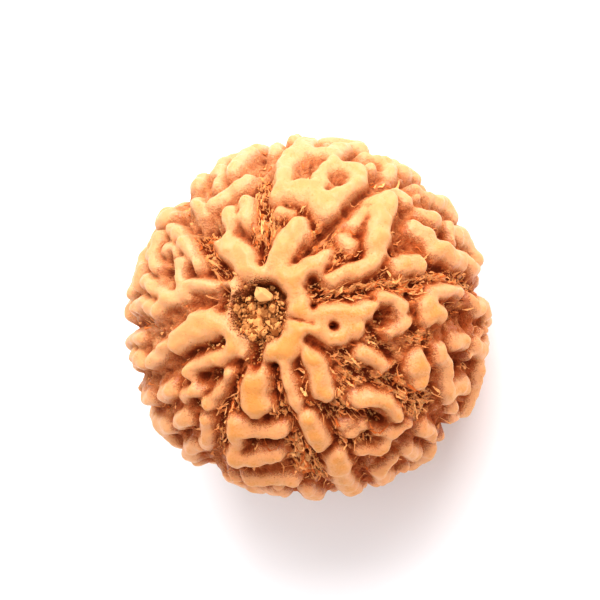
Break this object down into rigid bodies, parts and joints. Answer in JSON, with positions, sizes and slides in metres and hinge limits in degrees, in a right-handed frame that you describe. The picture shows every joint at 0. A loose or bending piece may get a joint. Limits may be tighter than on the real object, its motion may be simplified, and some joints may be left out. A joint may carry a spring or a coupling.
{
  "type": "nine mukhi rudraksha",
  "caption": "Dried fruit stone of a rudraksha tree: a round, slightly flattened bead, parted by furrows from pole to pole and covered with knobs and winding ridges.",
  "frame": {"origin": "middle of the stone's box in x and y, on the surface that it rests on", "axes": "+Z runs from the lower pole to the upper pole, the one with the open pit that the picture shows; +Y is the picture's up direction and +X its right"},
  "size_m": [0.0242, 0.024, 0.0213],
  "materials": {
    "stone": "dry brown stone, polished on the knobs and fibrous between them"
  },
  "bodies": {
    "root": {"rudraksha_stone": "stone"}
  },
  "joints": []
}
